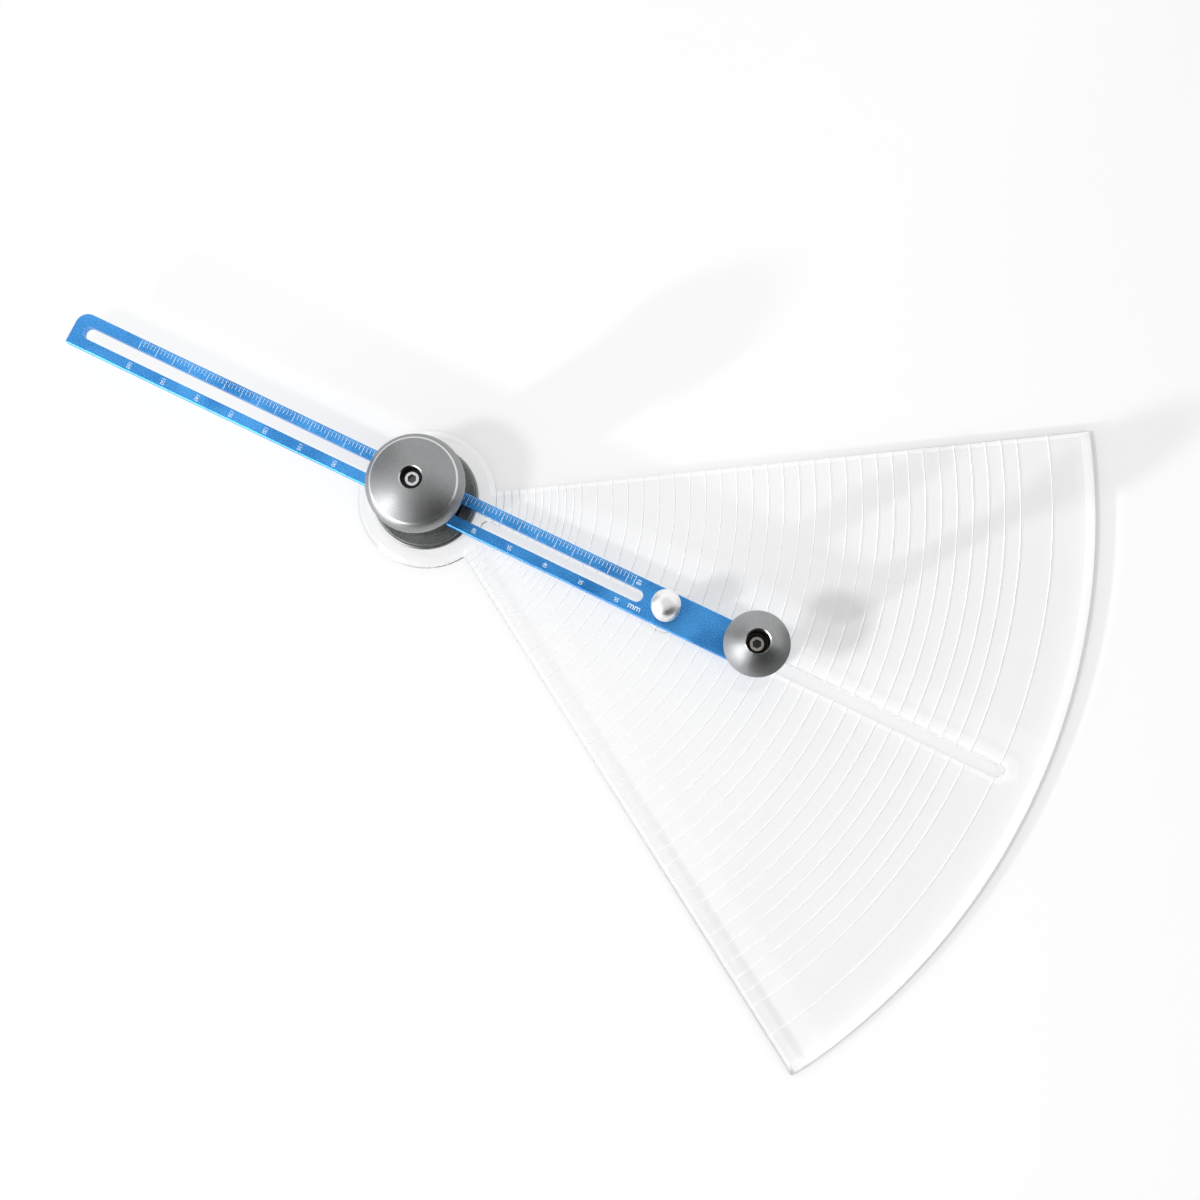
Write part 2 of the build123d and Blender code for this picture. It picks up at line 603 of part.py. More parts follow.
def shaft_clip():
    """Open spring ring in the shaft's groove, which stops the shaft under the sleeve."""
    groove = (SHAFT_RADIUS + CLIP_RADIUS) / 2 - (CLIP_RADIUS - SHAFT_RADIUS)
    high = sleeve_bottom - CLIP_GAP
    low = high - CLIP_THICKNESS
    body = ring(CLIP_RADIUS, groove, low, high, blade_x)
    half = math.radians(CLIP_MOUTH / 2)
    reach = CLIP_RADIUS + OVERRUN
    across = reach * math.sin(half)
    forward = reach * math.cos(half)
    mouth = make_face(Polyline((0, 0), (forward, -across), (forward, across), close=True))
    return body - Pos(blade_x, 0, low - OVERRUN) * extrude(mouth, CLIP_THICKNESS + OVERRUN + OVERRUN)


def blade():
    """Small steel blade that stands along the circle, with a slanted and ground edge."""
    back = BLADE_WIDTH / 2
    outline = make_face(Polyline(
        (-back, blade_top), (-back, BLADE_TIP_HEIGHT), (-back + BLADE_BEVEL, BLADE_TIP_HEIGHT),
        (back, BLADE_TIP_HEIGHT + BLADE_WIDTH), (back, blade_top), close=True,
    ))
    body = extrude(Plane.YZ * outline, BLADE_THICKNESS / 2, both=True)
    return Pos(blade_x, 0, 0) * body - blade_pin_body(THREAD_FIT)


def coil_points(radius, rise, turns):
    """Points and directions of a helix at each quarter turn."""
    places = []
    slope = rise / (math.tau * radius)
    for number in range(turns * QUARTERS + 1):
        turn = math.tau * number / QUARTERS
        place = Vector(radius * math.cos(turn), radius * math.sin(turn), rise * number / QUARTERS)
        way = Vector(-math.sin(turn), math.cos(turn), slope).normalized()
        places.append((place, way))
    return places


def biarc(start, start_way, end, end_way):
    """Two arcs that join two points and keep both directions."""
    chord = end - start
    ways = start_way + end_way
    a = 2 * (start_way.dot(end_way) - 1)
    b = -2 * chord.dot(ways)
    c = chord.dot(chord)
    reach = (-b - math.sqrt(b * b - 4 * a * c)) / (2 * a)
    if reach < 0:
        reach = (-b + math.sqrt(b * b - 4 * a * c)) / (2 * a)
    middle = (start + start_way * reach + end - end_way * reach) * (1 / 2)
    first = Edge.make_tangent_arc(start, start_way, middle)
    second = Edge.make_tangent_arc(middle, first % 1, end)
    return [first, second]


def blade_spring():
    """Return spring round the shaft, between the sleeve and the cap."""
    low = sleeve_top + SPRING_WIRE / 2 + SPRING_SEAT_GAP
    high = cavity_top - SPRING_WIRE / 2 - SPRING_SEAT_GAP
    rise = (high - low) / SPRING_TURNS
    places = coil_points(spring_radius, rise, SPRING_TURNS)
    first, first_way = places[0]
    last, last_way = places[-1]
    edges = [Line(first - first_way * SPRING_WIRE, first).edge()]
    for (start, start_way), (end, end_way) in zip(places, places[1:]):
        edges += biarc(start, start_way, end, end_way)
    edges.append(Line(last, last + last_way * SPRING_WIRE).edge())
    path = Wire(edges)
    section = Plane(path @ 0, z_dir=path % 0) * Circle(SPRING_WIRE / 2)
    print("blade spring: least gap to itself", round(rise - SPRING_WIRE, 3), "mm")
    return Pos(blade_x, 0, low) * sweep(section, path=path)


PIECES = {
    "centre_foot": centre_foot,
    "grip_pad": grip_pad,
    "thrust_washer": thrust_washer,
    "knob_washer": knob_washer,
    "palm_knob": palm_knob,
    "palm_screw": palm_screw,
    "press_plate": press_plate,
    "flange_ring": flange_ring,
    "base_flange": base_flange,
    "hub_neck": hub_neck,
    "brake_pad": brake_pad,
    "disc_spring": disc_spring,
    "plate_screws": plate_screws,
    "arm": arm,
    "crank_post": crank_post,
    "crank_washer": crank_washer,
    "crank_bush": crank_bush,
    "crank_screw": crank_screw,
    "crank_knob": crank_knob,
    "blade_sleeve": blade_sleeve,
    "blade_guard": blade_guard,
    "blade_cap": blade_cap,
    "blade_shaft": blade_shaft,
    "shaft_clip": shaft_clip,
    "blade": blade,
    "blade_pin": blade_pin,
    "blade_spring": blade_spring,
}

os.makedirs("parts", exist_ok=True)
for node, make in PIECES.items():
    export_step(make(), f"parts/{node}.step")
    print("wrote", node)
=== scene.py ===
# %% [markdown]
# # Dressing a circle cutter
# A circle cutter is a small drawing-table tool. A palm knob is pressed down on the middle of the
# circle, a slotted arm slides through the hub to set the radius, and a crank knob on the arm's end
# drives a small blade round. A clear plate keeps the sheet flat and shows the radius by its arcs.
# The solids come from a CAD model and stay where they are. This lesson adds what CAD leaves out:
# finishes, engraved lines, the printed scale, the light and the camera.

# %% Load the solids
import math

import bmesh
import bpy
from mathutils import Matrix, Vector


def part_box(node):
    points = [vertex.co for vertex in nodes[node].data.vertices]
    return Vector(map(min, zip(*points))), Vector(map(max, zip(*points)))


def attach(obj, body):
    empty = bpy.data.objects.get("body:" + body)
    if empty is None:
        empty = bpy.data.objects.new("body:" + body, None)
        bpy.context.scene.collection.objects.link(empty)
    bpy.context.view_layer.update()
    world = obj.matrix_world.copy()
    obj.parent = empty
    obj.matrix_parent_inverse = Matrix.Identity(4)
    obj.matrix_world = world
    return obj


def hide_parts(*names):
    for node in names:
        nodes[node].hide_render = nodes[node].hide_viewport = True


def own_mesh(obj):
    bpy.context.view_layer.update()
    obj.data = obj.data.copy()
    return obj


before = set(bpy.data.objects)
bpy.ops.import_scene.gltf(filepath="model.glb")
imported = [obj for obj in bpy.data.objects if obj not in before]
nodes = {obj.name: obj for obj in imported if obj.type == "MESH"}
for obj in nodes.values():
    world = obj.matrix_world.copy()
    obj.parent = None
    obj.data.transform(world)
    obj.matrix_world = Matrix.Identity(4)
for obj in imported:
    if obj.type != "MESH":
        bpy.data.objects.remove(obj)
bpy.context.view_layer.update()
MM = 0.001

# %% [markdown]
# ## The camera
# The picture looks almost straight down, from a little above the blade. The scale on the arm is a
# ruler in the picture, so the place of the lens could be worked out from its ticks. We build the
# camera's axes from where it stands, what it looks at and how far it is turned, because tracking
# constraints would leave the turn to chance.

# %% Place the camera
LENS = 48.0                              # mm
SENSOR = 36.0                            # mm wide
NEAREST = 0.01                           # m from the lens, where the camera starts to see
FARTHEST = 20.0                          # m, and where it stops
camera_place = Vector((90.53, -45.91, 405.61)) * MM
camera_aim = Vector((51.75, -4.09, 0.0)) * MM
camera_turn = math.radians(26.09)

forward = (camera_aim - camera_place).normalized()
top_hint = Vector((-math.sin(camera_turn), math.cos(camera_turn), 0.0))
right = forward.cross(top_hint).normalized()
top = right.cross(forward)

camera_data = bpy.data.cameras.new("camera")
camera_data.lens = LENS
camera_data.sensor_width = SENSOR
camera_data.clip_start = NEAREST
camera_data.clip_end = FARTHEST
camera = bpy.data.objects.new("camera", camera_data)
camera_axes = Matrix((right, top, -forward)).transposed().to_4x4()
camera.matrix_world = Matrix.Translation(camera_place) @ camera_axes
bpy.context.scene.collection.objects.link(camera)
bpy.context.scene.camera = camera
bpy.context.scene.view_settings.view_transform = "Standard"
print("camera height:", round(camera_place.z / MM), "mm")

# %% [markdown]
# ## Two small helpers
# Colours are given as sRGB hex values, as a screen shows them, but a renderer adds up light and
# needs linear values. The second helper adds one node to a tree with its settings and its inputs.
# An input that is given a socket is linked, and anything else is set as a value.

# %% Colour and node helpers
def linear(hex_colour):
    """Linear red, green, blue and alpha of an sRGB hex value such as #3A8BE0."""
    channels = [int(hex_colour[i:i + 2], 16) / 255 for i in (1, 3, 5)]
    return [c / 12.92 if c <= 0.04045 else ((c + 0.055) / 1.055) ** 2.4 for c in channels] + [1.0]


def add(tree, kind, inputs=None, **settings):
    """Adds a node, with its own settings, and its inputs by name or by number."""
    made = tree.nodes.new("ShaderNode" + kind)
    for name, value in settings.items():
        setattr(made, name, value)
    for key, value in (inputs or {}).items():
        if isinstance(value, bpy.types.NodeSocket):
            tree.links.new(value, made.inputs[key])
        else:
            made.inputs[key].default_value = value
    return made


print("mid grey is", round(linear("#808080")[0], 3), "in linear light")

# %% [markdown]
# ## Starting a finish
# Each finish starts as a Principled surface. The pattern of a finish is laid out in the object's
# own coordinates. They are in metres, because the CAD nodes are, so a pattern's scale follows from
# a real size: a noise of scale 1 / size makes one blotch in about that size. Noise gathers round
# its middle value, so a mottled tone first stretches the middle of the noise to the full range.

# %% Start a finish
def new_finish(name):
    """A named material, its tree, its shader and the piece's own coordinates."""
    material = bpy.data.materials.new(name)
    material.use_nodes = True
    tree = material.node_tree
    shader = tree.nodes["Principled BSDF"]
    place = add(tree, "TexCoord").outputs["Object"]
    return material, tree, shader, place


def per(size):
    """Scale of a pattern whose features are size mm across."""
    return 1.0 / (size * MM)


MIDDLE_PART = (0.3, 0.7)                 # part of a noise that is stretched to the full range


def mottle(tree, pattern, dark, light, part=MIDDLE_PART):
    """Tone from dark to light by a pattern, and the stretched pattern."""
    low, high = part
    spread = add(tree, "MapRange", {"Value": pattern, "From Min": low, "From Max": high}).outputs[0]
    tone = add(tree, "Mix", {"Factor": spread, 6: linear(dark), 7: linear(light)}, data_type="RGBA")
    return tone.outputs[2], spread


print("a 0.4 mm grain has scale", round(per(0.4)))

# %% [markdown]
# ## Zones on a turned piece
# The knobs are turned on a lathe, blasted with glass beads, and then cut once more at their rims
# with a diamond tool, which leaves bright rings. Their bores and the screws' key sockets are given
# painted shade, darker than the metal round them. Such a zone is told by its distance from the
# piece's axis and by its height, so one mask serves every turned piece.

# %% A mask for zones
def distance_from_axis(tree, place, axis_x):
    """Distance of a point from an upright axis at X = axis_x mm, in metres."""
    moved = add(tree, "VectorMath", {0: place, 1: (axis_x * MM, 0.0, 0.0)}, operation="SUBTRACT")
    level = add(tree, "VectorMath", {0: moved.outputs[0], 1: (1.0, 1.0, 0.0)}, operation="MULTIPLY")
    return add(tree, "VectorMath", {0: level.outputs[0]}, operation="LENGTH").outputs["Value"]


def band(tree, value, low, high):
    """1 where a value in metres lies between two sizes in mm, and 0 elsewhere."""
    middle = (low + high) / 2 * MM
    reach = (high - low) / 2 * MM
    return add(tree, "Math", {0: value, 1: middle, 2: reach}, operation="COMPARE").outputs[0]


def paint_zones(tree, place, zones, tone, shine):
    """Paints zones (axis_x, inner, outer, low, high, colour, roughness), sizes in mm, over a finish."""
    height = add(tree, "SeparateXYZ", {0: place}).outputs["Z"]
    for axis_x, inner, outer, low, high, colour, roughness in zones:
        ring = band(tree, distance_from_axis(tree, place, axis_x), inner, outer)
        layer = band(tree, height, low, high)
        mask = add(tree, "Math", {0: ring, 1: layer}, operation="MULTIPLY").outputs[0]
        tone = add(tree, "Mix", {"Factor": mask, 6: tone, 7: linear(colour)}, data_type="RGBA").outputs[2]
        shine = add(tree, "Mix", {"Factor": mask, 2: shine, 3: roughness}, data_type="FLOAT").outputs[0]
    return tone, shine


HUB_X = 0.0
BLADE_X = 68.5
CRANK_X = 92.5
print("axes of the turned pieces at X =", HUB_X, BLADE_X, CRANK_X, "mm")

# %% [markdown]
# ## Blasted and anodised aluminium
# Bead blasting covers aluminium with shallow round dents, and the anodised skin on it takes dye.
# The dents of fine beads are about 0.1 mm across, which is less than a pixel here, so the grain is
# drawn at 0.35 mm. It varies the tone, the gloss and the slope a little. A second, wide noise
# stands for the way that dye takes unevenly. The anodic skin is clear oxide, so it adds a thin
# white gloss of its own over the metal's coloured one, most of all at the arm's sides.

# %% The blasted finish
GRAIN = 0.35                             # mm
CLOUD = 9.0                              # mm, patches in which dye takes unevenly
CLOUD_SHARE = 0.35
BLASTED_PART = (0.35, 0.65)              # part of the noise, narrower for a stronger mottle
SKIN_ROUGHNESS = 0.3
OXIDE_IOR = 1.65


def blasted(name, dark, light, gloss, depth=0.003, zones=(), skin=0.0):
    """Blasted metal between two colours, with roughness from gloss[0] to gloss[1]."""
    material, tree, shader, place = new_finish(name)
    dents = add(tree, "TexNoise", {"Vector": place, "Scale": per(GRAIN), "Detail": 2.0}).outputs["Fac"]
    cloud = add(tree, "TexNoise", {"Vector": place, "Scale": per(CLOUD), "Detail": 1.0}).outputs["Fac"]
    both = add(tree, "Mix", {"Factor": CLOUD_SHARE, 2: dents, 3: cloud}, data_type="FLOAT").outputs[0]
    tone, spread = mottle(tree, both, dark, light, BLASTED_PART)
    shine = add(tree, "MapRange", {"Value": spread, "To Min": gloss[0], "To Max": gloss[1]}).outputs[0]
    slope = add(tree, "Bump", {"Height": dents, "Distance": depth * MM, "Strength": 1.0}).outputs[0]
    tone, shine = paint_zones(tree, place, zones, tone, shine)
    tree.links.new(tone, shader.inputs["Base Color"])
    tree.links.new(shine, shader.inputs["Roughness"])
    tree.links.new(slope, shader.inputs["Normal"])
    shader.inputs["Metallic"].default_value = 1.0
    shader.inputs["Coat Weight"].default_value = skin
    shader.inputs["Coat Roughness"].default_value = SKIN_ROUGHNESS
    shader.inputs["Coat IOR"].default_value = OXIDE_IOR
    return material


# The bore zones are painted shade in the knobs' bores; the other zones are polished rings.
PALM_POLISH_AND_SHADE_ZONES = (
    (HUB_X, 10.58, 11.02, 24.2, 24.8, "#DCDDDE", 0.34),     # polished edge
    (HUB_X, 2.68, 3.0, 28.1, 28.6, "#D6D7D8", 0.26),        # mouth of the bore
    (HUB_X, 0.0, 2.73, 24.0, 28.2, "#545556", 0.45),        # bore
)
CRANK_POLISH_AND_SHADE_ZONES = (
    (CRANK_X, 2.84, 3.15, 32.0, 32.4, "#D4D5D6", 0.2),      # mouth of the bore
    (CRANK_X, 0.0, 2.89, 23.0, 32.04, "#5E5C59", 0.45),     # bore
)
blue_anodised = blasted("blue_anodised_aluminium", "#257AC6", "#5AB6FF", (0.36, 0.46), skin=0.25)
gunmetal = blasted("gunmetal_anodised_aluminium", "#595C5A", "#878A87", (0.48, 0.58), depth=0.008)
# The two knobs and the ring wear copies of one satin finish, each set lighter or darker to the light that
# falls on it: painted light and shade.
palm_satin = blasted("satin_palm_knob_aluminium", "#929394", "#A4A5A6", (0.40, 0.50),
                     zones=PALM_POLISH_AND_SHADE_ZONES)
crank_satin = blasted("satin_crank_knob_aluminium", "#9A9B9C", "#ACADAE", (0.42, 0.52),
                      zones=CRANK_POLISH_AND_SHADE_ZONES)
ring_satin = blasted("satin_ring_aluminium", "#7E7F80", "#929394", (0.30, 0.40))
print("blasted finishes:", blue_anodised.name, gunmetal.name, palm_satin.name,
      crank_satin.name, ring_satin.name)

# %% [markdown]
# ## Turned and polished metal
# A lathe tool leaves rings about 0.05 mm apart. On the polished pieces they only show as a slight
# shimmer, so they are drawn 0.2 mm apart and very shallow. The rings are a wave of the distance
# from the piece's own axis, shaken a little by noise so that they aren't perfectly even. Height is
# added to the distance, so that upright walls get rings as well.

# %% The turned finish
RING_PITCH = 0.2                         # mm
SHAKE_SIZE = 1.5                         # mm
SHAKE = 2.0                              # radians by which the noise shifts the rings
SMOOTHER = 0.8                           # roughness wanders between these parts of itself
ROUGHER = 1.25


def turned_finish(name, colour, roughness, axis_x, depth=0.0008):
    """Turned metal with fine rings round an upright axis at X = axis_x mm."""
    material, tree, shader, place = new_finish(name)
    distance = distance_from_axis(tree, place, axis_x)
    height = add(tree, "SeparateXYZ", {0: place}).outputs["Z"]
    along = add(tree, "Math", {0: distance, 1: height}, operation="ADD").outputs[0]
    ring_rate = 2 * math.pi / (RING_PITCH * MM)
    uneven = add(tree, "TexNoise", {"Vector": place, "Scale": per(SHAKE_SIZE), "Detail": 2.0})
    shake = uneven.outputs["Fac"]
    turns = add(tree, "Math", {0: along, 1: ring_rate}, operation="MULTIPLY").outputs[0]
    phase = add(tree, "Math", {0: shake, 1: SHAKE, 2: turns}, operation="MULTIPLY_ADD").outputs[0]
    wave = add(tree, "Math", {0: phase}, operation="SINE").outputs[0]
    slope = add(tree, "Bump", {"Height": wave, "Distance": depth * MM, "Strength": 1.0})
    low, high = MIDDLE_PART
    shine = add(tree, "MapRange", {
        "Value": shake, "From Min": low, "From Max": high,
        "To Min": roughness * SMOOTHER, "To Max": roughness * ROUGHER,
    }).outputs[0]
    tree.links.new(shine, shader.inputs["Roughness"])
    tree.links.new(slope.outputs[0], shader.inputs["Normal"])
    shader.inputs["Base Color"].default_value = linear(colour)
    shader.inputs["Metallic"].default_value = 1.0
    return material


polished_hub = turned_finish("polished_hub_aluminium", "#B9BBBE", 0.10, HUB_X)
polished_sleeve = turned_finish("polished_sleeve_aluminium", "#C4C6C8", 0.12, BLADE_X)
satin_post = turned_finish("satin_post_aluminium", "#B0B1B3", 0.26, CRANK_X, depth=0.0002)
chromed_cap = turned_finish("satin_chromed_cap_steel", "#FAFAF9", 0.42, BLADE_X, depth=0.0003)
# The crank's bush is given a very dark tone.
black_bush = turned_finish("dark_bush_steel", "#2C2C2D", 0.34, CRANK_X)
print("turned finishes:", polished_hub.name, polished_sleeve.name, satin_post.name,
      chromed_cap.name, black_bush.name)

# %% [markdown]
# ## Small steel parts
# Screws are zinc plated: bright, slightly blue and a little uneven. The screws deep in the two
# knobs get lighter copies of it, painted light against the shade of their bores, with painted
# shade in their key sockets. The springs are drawn wire and sheet, duller and a little brown. The
# blade is ground across its edge, which leaves fine parallel lines, so its noise is stretched
# along one axis.

# %% Steel finishes
PATCH_DEPTH = 0.001                      # mm


def plated(name, dark, light, gloss, size, stretch=(1.0, 1.0, 1.0), zones=()):
    """Plated or ground steel whose tone and gloss wander over patches of size mm."""
    material, tree, shader, place = new_finish(name)
    drawn = add(tree, "VectorMath", {0: place, 1: stretch}, operation="MULTIPLY").outputs[0]
    patch = add(tree, "TexNoise", {"Vector": drawn, "Scale": per(size), "Detail": 3.0}).outputs["Fac"]
    tone, spread = mottle(tree, patch, dark, light)
    shine = add(tree, "MapRange", {"Value": spread, "To Min": gloss[0], "To Max": gloss[1]}).outputs[0]
    slope = add(tree, "Bump", {"Height": patch, "Distance": PATCH_DEPTH * MM, "Strength": 1.0})
    tone, shine = paint_zones(tree, place, zones, tone, shine)
    tree.links.new(tone, shader.inputs["Base Color"])
    tree.links.new(shine, shader.inputs["Roughness"])
    tree.links.new(slope.outputs[0], shader.inputs["Normal"])
    shader.inputs["Metallic"].default_value = 1.0
    return material


# Painted shade in the two screws' key sockets; their lighter zinc below is painted light.
PALM_SOCKET_SHADE = ((HUB_X, 0.0, 1.2, 25.2, 26.38, "#5E5E60", 0.3),)
CRANK_SOCKET_SHADE = ((CRANK_X, 0.0, 1.2, 24.8, 25.98, "#4A4743", 0.34),)
zinc = plated("bright_zinc_screw_steel", "#8E9094", "#B4B6BA", (0.20, 0.36), 0.6)
palm_zinc_painted_light = plated("zinc_palm_screw_painted_light", "#D4D5D8", "#ECEDEF", (0.20, 0.34), 0.6,
                   zones=PALM_SOCKET_SHADE)
crank_zinc_painted_light = plated("zinc_crank_screw_painted_light", "#A8A39D", "#C8C3BC", (0.24, 0.36), 0.6,
                    zones=CRANK_SOCKET_SHADE)
spring_steel = plated("drawn_spring_steel", "#84827E", "#A3A19C", (0.26, 0.40), 0.3, (0.3, 0.3, 1.0))
blade_steel = plated("ground_blade_steel", "#A6A8AC", "#D2D4D7", (0.14, 0.30), 0.5, (0.1, 0.1, 6.0))
print("steel finishes:", zinc.name, palm_zinc_painted_light.name, crank_zinc_painted_light.name, spring_steel.name,
      blade_steel.name)

# %% [markdown]
# ## Nylon and rubber
# Washers are moulded nylon: off-white, waxy, and slightly see-through at thin edges, which a little
# scattering under the surface gives. The pad under the foot is rubber, moulded with a fine grain
# so that it grips paper, and matt because the grain scatters its gloss.

# %% Soft materials
SCATTER_DEPTH = 0.3                      # mm


def moulded(name, dark, light, gloss, grain, depth, ior, scatter=0.0):
    """Moulded plastic or rubber with a fine grain."""
    material, tree, shader, place = new_finish(name)
    texture = add(tree, "TexNoise", {"Vector": place, "Scale": per(grain), "Detail": 3.0}).outputs["Fac"]
    tone, spread = mottle(tree, texture, dark, light)
    shine = add(tree, "MapRange", {"Value": spread, "To Min": gloss[0], "To Max": gloss[1]}).outputs[0]
    slope = add(tree, "Bump", {"Height": texture, "Distance": depth * MM, "Strength": 1.0})
    tree.links.new(tone, shader.inputs["Base Color"])
    tree.links.new(shine, shader.inputs["Roughness"])
    tree.links.new(slope.outputs[0], shader.inputs["Normal"])
    shader.inputs["IOR"].default_value = ior
    shader.inputs["Subsurface Weight"].default_value = scatter
    shader.inputs["Subsurface Scale"].default_value = SCATTER_DEPTH * MM
    return material


nylon = moulded("moulded_white_nylon", "#E2E0DA", "#ECEAE5", (0.36, 0.46),
                grain=0.8, depth=0.002, ior=1.53, scatter=0.3)
rubber = moulded("grained_grey_rubber", "#2E2E30", "#3A3A3C", (0.72, 0.86),
                 grain=0.25, depth=0.02, ior=1.52)
print("soft materials:", nylon.name, rubber.name)

# %% [markdown]
# ## Clear acrylic
# The plate and the blade guard are cast acrylic with polished edges. It bends light at 1.49, a bit
# less than glass, and shows very fine wiping marks. Light that falls through clear acrylic on a
# table would take a renderer very long to find, so lamp rays and bounced light go straight through,
# while the eye still sees real refraction. How much of that light passes depends on how level the
# face is. An upright edge bends most of it away and leaves a thin grey line beside the plate, a
# bevel sends more to the strip beneath it, and a level face takes a little. The walls of the narrow
# blade slot let more through than the outer edges do.
#
# Two more things belong to a clear sheet. Light that runs along inside it leaves by the bevels,
# which a small painted glow on the bevels stands for. And a view ray can be thrown to and fro
# between two faces until it is given up and comes out black, so after a few bends it goes straight
# on instead.

# %% The clear finish
ACRYLIC_IOR = 1.49
WIPING = (1.0, 0.12, 1.0)                # draws the wiping marks out along Y
WIPING_SIZE = 1.2                        # mm
WIPING_PART = (0.35, 0.7)
WIPED_ROUGHNESS = 0.03
PASSED = (                               # (how level a face is, light that it passes)
    (0.0, 0.27),
    (0.5, 1.0),
    (0.9, 1.4),
    (0.995, 0.955),
)
BEVEL_LEVEL = 0.8                        # how level the bevels are, give or take the reach
BEVEL_REACH = 0.17
# Painted glow on the bevels, for the sheet's light that leaves by them.
BEVEL_PAINTED_GLOW = 0.055                       # light of the sheet that leaves by its bevels
SLOT_REACH = 1.9                         # mm from the slot's middle line to beyond its walls
SLOT_END = 164.0                         # mm from the hub's axis to beyond the slot's outer end
SLOT_PASSED = 0.72                       # least light that any face within the slot passes
DEEPEST = 4                              # bends that a view ray may take in the sheet


def set_stops(ramp, stops):
    """Gives a ramp its stops, each a position and a grey level."""
    for position, value in stops[1:-1]:
        ramp.elements.new(position).color = (value, value, value, 1.0)
    for i in (0, -1):
        position, value = stops[i]
        ramp.elements[i].position = position
        ramp.elements[i].color = (value, value, value, 1.0)


def clear_acrylic():
    """Clear sheet that bends the eye's rays and lets the light's rays straight through."""
    material, tree, shader, place = new_finish("clear_cast_acrylic")
    wiped = add(tree, "VectorMath", {0: place, 1: WIPING}, operation="MULTIPLY").outputs[0]
    wiping = add(tree, "TexNoise", {"Vector": wiped, "Scale": per(WIPING_SIZE), "Detail": 3.0})
    low, high = WIPING_PART
    shine = add(tree, "MapRange", {
        "Value": wiping.outputs["Fac"], "From Min": low, "From Max": high,
        "To Min": 0.0, "To Max": WIPED_ROUGHNESS,
    }).outputs[0]
    tree.links.new(shine, shader.inputs["Roughness"])
    shader.inputs["Base Color"].default_value = linear("#FEFEFE")
    shader.inputs["IOR"].default_value = ACRYLIC_IOR
    shader.inputs["Transmission Weight"].default_value = 1.0

    facing = add(tree, "SeparateXYZ", {0: add(tree, "NewGeometry").outputs["True Normal"]}).outputs["Z"]
    level = add(tree, "Math", {0: facing}, operation="ABSOLUTE").outputs[0]
    ramp = add(tree, "ValToRGB", {"Fac": level})
    set_stops(ramp.color_ramp, PASSED)
    # Painted glow: faces that slope like the bevels give off a little light of their own.
    bevel = {0: level, 1: BEVEL_LEVEL, 2: BEVEL_REACH}
    sloping = add(tree, "Math", bevel, operation="COMPARE").outputs[0]
    glow = add(tree, "Math", {0: sloping, 1: BEVEL_PAINTED_GLOW}, operation="MULTIPLY").outputs[0]
    tree.links.new(glow, shader.inputs["Emission Strength"])
    shader.inputs["Emission Color"].default_value = linear("#FFFFFF")

    side = add(tree, "SeparateXYZ", {0: place}).outputs["Y"]
    inside = band(tree, distance_from_axis(tree, place, HUB_X), 0.0, SLOT_END)
    between = band(tree, side, -SLOT_REACH, SLOT_REACH)
    in_slot = add(tree, "Math", {0: between, 1: inside}, operation="MULTIPLY").outputs[0]
    slot_light = add(tree, "Math", {0: in_slot, 1: SLOT_PASSED}, operation="MULTIPLY").outputs[0]

    path = add(tree, "LightPath").outputs
    light = {0: path["Is Shadow Ray"], 1: path["Is Diffuse Ray"]}
    light_ray = add(tree, "Math", light, operation="MAXIMUM").outputs[0]
    bends = {0: path["Ray Depth"], 1: DEEPEST}
    trapped = add(tree, "Math", bends, operation="GREATER_THAN").outputs[0]
    straight = add(tree, "Math", {0: light_ray, 1: trapped}, operation="MAXIMUM").outputs[0]
    free = add(tree, "Math", {0: slot_light, 1: trapped}, operation="MAXIMUM").outputs[0]
    passed = add(tree, "Math", {0: ramp.outputs[0], 1: free}, operation="MAXIMUM").outputs[0]
    passing = add(tree, "BsdfTransparent", {"Color": passed})
    both = add(tree, "MixShader", {0: straight, 1: shader.outputs[0], 2: passing.outputs[0]})
    tree.links.new(both.outputs[0], tree.nodes["Material Output"].inputs["Surface"])
    return material


acrylic = clear_acrylic()
print("clear finish:", acrylic.name)

# %% [markdown]
# ## Who wears what
# Every CAD node has one material slot, so a finish is put on a piece by filling that slot.

# %% Put the finishes on
worn_by = {
    acrylic: ("press_plate", "blade_guard"),
    blue_anodised: ("arm",),
    gunmetal: ("base_flange",),
    ring_satin: ("flange_ring",),
    palm_satin: ("palm_knob",),
    crank_satin: ("crank_knob",),
    polished_hub: ("hub_neck", "centre_foot"),
    polished_sleeve: ("blade_sleeve",),
    satin_post: ("crank_post",),
    chromed_cap: ("blade_cap",),
    black_bush: ("crank_bush",),
    zinc: ("plate_screws", "blade_shaft"),
    palm_zinc_painted_light: ("palm_screw",),
    crank_zinc_painted_light: ("crank_screw",),
    spring_steel: ("disc_spring", "shaft_clip", "blade_pin", "blade_spring"),
    blade_steel: ("blade",),
    nylon: ("thrust_washer", "knob_washer", "crank_washer", "brake_pad"),
    rubber: ("grip_pad",),
}
for finish, names in worn_by.items():
    for name in names:
        piece = nodes[name]
        if not piece.material_slots:
            piece.data.materials.append(finish)
        for slot in piece.material_slots:
            slot.material = finish
bare = sorted(set(nodes) - {name for names in worn_by.values() for name in names})
print("nodes without a finish:", bare)

# %% [markdown]
# ## A mesh from sections
# Three things are swept: the plate's arcs, the ticks of the scale and the wire of the spring. A
# sweep is a list of sections with the same number of points, joined by a skin and closed at both
# ends.

